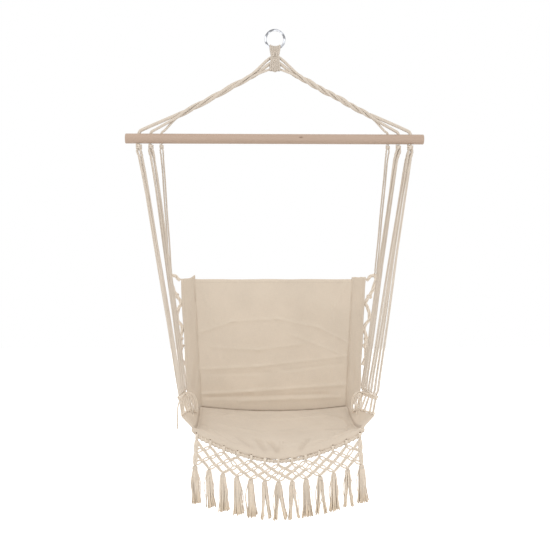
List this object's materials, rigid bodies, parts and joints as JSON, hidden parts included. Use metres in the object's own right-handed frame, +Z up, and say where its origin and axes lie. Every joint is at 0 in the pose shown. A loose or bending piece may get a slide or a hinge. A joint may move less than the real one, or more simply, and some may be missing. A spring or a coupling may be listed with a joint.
{
  "type": "hammock chair",
  "caption": "Hanging cord-and-canvas hammock chair on a steel ring and wooden spreader bar, with a padded seat and back and a knotted, tasselled net in front.",
  "frame": {"origin": "top of the steel ring's bore, in its middle, where the hook or carabiner bears", "axes": "+Z up, -Y the way the sitter faces, +X to the right as seen from the front"},
  "size_m": [0.9, 0.5044, 1.4191],
  "materials": {
    "ring": "polished",
    "bar": "matte",
    "rope_cord": "matte",
    "macrame_cord": "matte",
    "canvas": "matte"
  },
  "bodies": {
    "root": {"steel_ring": "ring"},
    "hanger": {"hanging_collar": "rope_cord", "rope_strand_left_inner": "rope_cord", "rope_strand_left_middle": "rope_cord", "rope_strand_left_outer": "rope_cord", "rope_strand_right_inner": "rope_cord", "rope_strand_right_middle": "rope_cord", "rope_strand_right_outer": "rope_cord", "spreader_bar": "bar", "stopper_knot_left_inner": "rope_cord", "stopper_knot_left_middle": "rope_cord", "stopper_knot_left_outer": "rope_cord", "stopper_knot_right_inner": "rope_cord", "stopper_knot_right_middle": "rope_cord", "stopper_knot_right_outer": "rope_cord"},
    "seat": {"back_band_left": "canvas", "back_band_right": "canvas", "back_cord_left_1": "rope_cord", "back_cord_left_2": "rope_cord", "back_cord_right_1": "rope_cord", "back_cord_right_2": "rope_cord", "back_lacing_left": "macrame_cord", "back_lacing_right": "macrame_cord", "back_panel": "canvas", "front_net": "macrame_cord", "seat_binding": "canvas", "seat_cord_left_1": "rope_cord", "seat_cord_left_2": "rope_cord", "seat_cord_left_3": "rope_cord", "seat_cord_left_4": "rope_cord", "seat_cord_left_5": "rope_cord", "seat_cord_left_6": "rope_cord", "seat_cord_left_7": "rope_cord", "seat_cord_right_1": "rope_cord", "seat_cord_right_2": "rope_cord", "seat_cord_right_3": "rope_cord", "seat_cord_right_4": "rope_cord", "seat_cord_right_5": "rope_cord", "seat_cord_right_6": "rope_cord", "seat_cord_right_7": "rope_cord", "seat_pad": "canvas", "seat_wing_left": "canvas", "seat_wing_right": "canvas", "side_macrame_left": "macrame_cord", "side_macrame_right": "macrame_cord"},
    "tassel_01_body": {"tassel_01": "macrame_cord"},
    "tassel_02_body": {"tassel_02": "macrame_cord"},
    "tassel_03_body": {"tassel_03": "macrame_cord"},
    "tassel_04_body": {"tassel_04": "macrame_cord"},
    "tassel_05_body": {"tassel_05": "macrame_cord"},
    "tassel_06_body": {"tassel_06": "macrame_cord"},
    "tassel_07_body": {"tassel_07": "macrame_cord"},
    "tassel_08_body": {"tassel_08": "macrame_cord"},
    "tassel_09_body": {"tassel_09": "macrame_cord"},
    "tassel_10_body": {"tassel_10": "macrame_cord"},
    "tassel_11_body": {"tassel_11": "macrame_cord"},
    "tassel_12_body": {"tassel_12": "macrame_cord"},
    "tassel_13_body": {"tassel_13": "macrame_cord"}
  },
  "joints": [
    {"name": "ring_swing", "type": "hinge", "parent": "root", "child": "hanger", "pos_m": [0, 0, -0.0535], "axis": [1, 0, 0], "range_deg": [-35, 35]},
    {"name": "seat_swing", "type": "hinge", "parent": "hanger", "child": "seat", "pos_m": [0, 0, -0.34924], "axis": [1, 0, 0], "range_deg": [-25, 25]},
    {"name": "tassel_01_swing", "type": "hinge", "parent": "seat", "child": "tassel_01_body", "pos_m": [-0.2286, -0.315, -1.254], "axis": [1, 0, 0], "range_deg": [-60, 60]},
    {"name": "tassel_02_swing", "type": "hinge", "parent": "seat", "child": "tassel_02_body", "pos_m": [-0.1905, -0.315, -1.26564], "axis": [1, 0, 0], "range_deg": [-60, 60]},
    {"name": "tassel_03_swing", "type": "hinge", "parent": "seat", "child": "tassel_03_body", "pos_m": [-0.1524, -0.315, -1.27596], "axis": [1, 0, 0], "range_deg": [-60, 60]},
    {"name": "tassel_04_swing", "type": "hinge", "parent": "seat", "child": "tassel_04_body", "pos_m": [-0.1143, -0.315, -1.28483], "axis": [1, 0, 0], "range_deg": [-60, 60]},
    {"name": "tassel_05_swing", "type": "hinge", "parent": "seat", "child": "tassel_05_body", "pos_m": [-0.0762, -0.315, -1.29207], "axis": [1, 0, 0], "range_deg": [-60, 60]},
    {"name": "tassel_06_swing", "type": "hinge", "parent": "seat", "child": "tassel_06_body", "pos_m": [-0.0381, -0.315, -1.29738], "axis": [1, 0, 0], "range_deg": [-60, 60]},
    {"name": "tassel_07_swing", "type": "hinge", "parent": "seat", "child": "tassel_07_body", "pos_m": [0, -0.315, -1.3], "axis": [1, 0, 0], "range_deg": [-60, 60]},
    {"name": "tassel_08_swing", "type": "hinge", "parent": "seat", "child": "tassel_08_body", "pos_m": [0.0381, -0.315, -1.29738], "axis": [1, 0, 0], "range_deg": [-60, 60]},
    {"name": "tassel_09_swing", "type": "hinge", "parent": "seat", "child": "tassel_09_body", "pos_m": [0.0762, -0.315, -1.29207], "axis": [1, 0, 0], "range_deg": [-60, 60]},
    {"name": "tassel_10_swing", "type": "hinge", "parent": "seat", "child": "tassel_10_body", "pos_m": [0.1143, -0.315, -1.28483], "axis": [1, 0, 0], "range_deg": [-60, 60]},
    {"name": "tassel_11_swing", "type": "hinge", "parent": "seat", "child": "tassel_11_body", "pos_m": [0.1524, -0.315, -1.27596], "axis": [1, 0, 0], "range_deg": [-60, 60]},
    {"name": "tassel_12_swing", "type": "hinge", "parent": "seat", "child": "tassel_12_body", "pos_m": [0.1905, -0.315, -1.26564], "axis": [1, 0, 0], "range_deg": [-60, 60]},
    {"name": "tassel_13_swing", "type": "hinge", "parent": "seat", "child": "tassel_13_body", "pos_m": [0.2286, -0.315, -1.254], "axis": [1, 0, 0], "range_deg": [-60, 60]}
  ]
}
